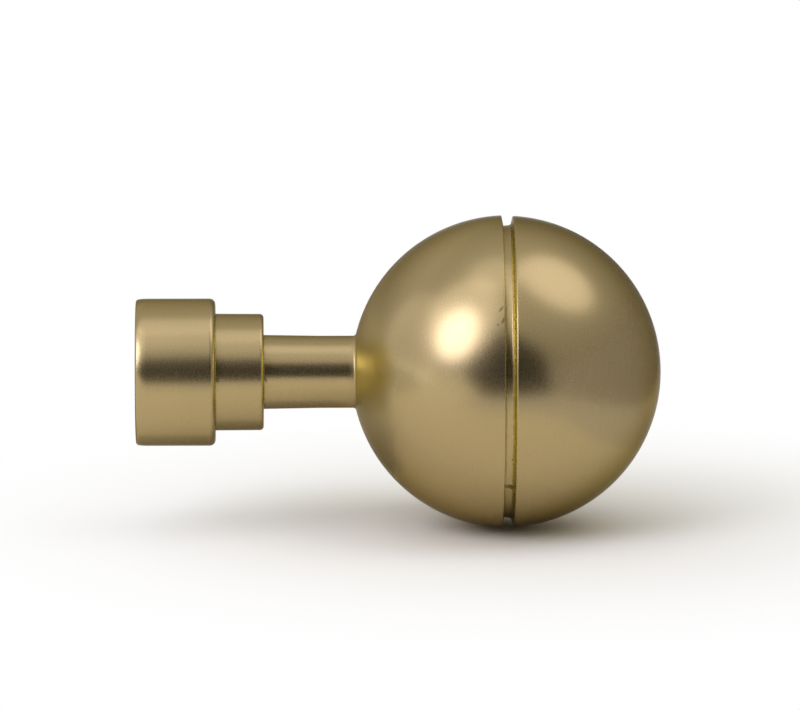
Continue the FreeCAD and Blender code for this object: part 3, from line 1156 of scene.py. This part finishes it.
# %% Cards over the floor
CARD_Z = FLOOR_Z + 0.5 * MM
flag(
    "stem_floor_flag",
    0.66,
    (
        (-0.02, -0.003, CARD_Z),
        (0.03, -0.003, CARD_Z),
        (0.03, 0.06, CARD_Z),
        (-0.02, 0.06, CARD_Z),
    ),
)
flag(
    "left_floor_flag",
    0.25,
    (
        (-0.038, 0.0, CARD_Z),
        (-0.14, 0.005, CARD_Z),
        (-0.25, 0.15, CARD_Z),
        (-0.14, 0.32, CARD_Z),
        (0.0, 0.14, CARD_Z),
        (-0.02, 0.07, CARD_Z),
    ),
)
flag(
    "front_floor_flag",
    0.77,
    (
        (0.118, 0.06, CARD_Z),
        (0.118, -0.03, CARD_Z),
        (0.122, -0.075, CARD_Z),
        (0.108, -0.105, CARD_Z),
        (0.066, -0.13, CARD_Z),
        (-0.02, -0.12, CARD_Z),
        (-0.02, FLAG_Y, CARD_Z),
        (0.30, FLAG_Y, CARD_Z),
        (0.30, 0.06, CARD_Z),
    ),
)

# %% [markdown]
# ## Lamps and room
#
# The lamps are oval soft boxes, each placed where the finial mirrors it. The key at the front left
# gives the highlight on the ball and is as blue as a window, and a larger, weak lamp behind it
# gives the glow about the highlight. One hangs over the right side for the light on the cap. The
# fill, the top and the back lamp lift the rest. The room is a plain light from all sides that
# grows towards the ceiling.

# %% Lamps
DAYLIGHT = (1.0, 0.99, 1.19)
WINDOW = (1.0, 1.0, 1.42)
# Each lamp: name, yaw, rise, distance, width, height, brightness in a mirror, colour
LAMPS = (
    ("key", 45, 33, 0.9, 0.47, 0.60, 2.9, WINDOW),
    ("key_halo", 47, 45, 0.95, 0.85, 1.12, 0.68, DAYLIGHT),
    ("side", -90, 60, 0.9, 0.70, 0.74, 0.96, DAYLIGHT),
    ("fill", 82, 18, 0.9, 1.0, 1.0, 0.4, DAYLIGHT),
    ("top", 60, 82, 0.9, 0.5, 0.5, 0.5, DAYLIGHT),
    ("back", 138, 24, 0.9, 1.46, 0.9, 0.15, DAYLIGHT),
)
for name, yaw, rise, distance, width, height, radiance, colour in LAMPS:
    lamp = bpy.data.lights.new(name, "AREA")
    lamp.color = colour
    lamp.shape = "ELLIPSE"
    lamp.size = width
    lamp.size_y = height
    lamp.energy = radiance * math.pi * width * height * math.pi / 4
    holder = bpy.data.objects.new(name, lamp)
    bpy.context.scene.collection.objects.link(holder)
    way = direction(yaw, rise)
    holder.location = MIDDLE + way * distance
    holder.rotation_euler = way.to_track_quat("Z", "Y").to_euler()
    holder.visible_camera = False
    print(name, "gives", round(lamp.energy, 2), "W")

# %% The room
ROOM_LOW = 0.36
ROOM_TOP = 0.65
world = bpy.data.worlds.new("studio")
bpy.context.scene.world = world
world.use_nodes = True
tree = world.node_tree
split = tree.nodes.new("ShaderNodeSeparateXYZ")
lighter_up = tree.nodes.new("ShaderNodeMapRange")
lighter_up.interpolation_type = "SMOOTHSTEP"
lighter_up.inputs["To Min"].default_value = ROOM_LOW
lighter_up.inputs["To Max"].default_value = ROOM_TOP
wire(
    tree,
    (tree.nodes.new("ShaderNodeTexCoord").outputs["Generated"], split.inputs[0]),
    (split.outputs["Z"], lighter_up.inputs["Value"]),
    (lighter_up.outputs["Result"], tree.nodes["Background"].inputs["Strength"]),
)
tree.nodes["Background"].inputs["Color"].default_value = (1, 1, 1, 1)
bpy.context.scene.view_settings.view_transform = "Standard"
print("the room's light goes from", ROOM_LOW, "to", ROOM_TOP)
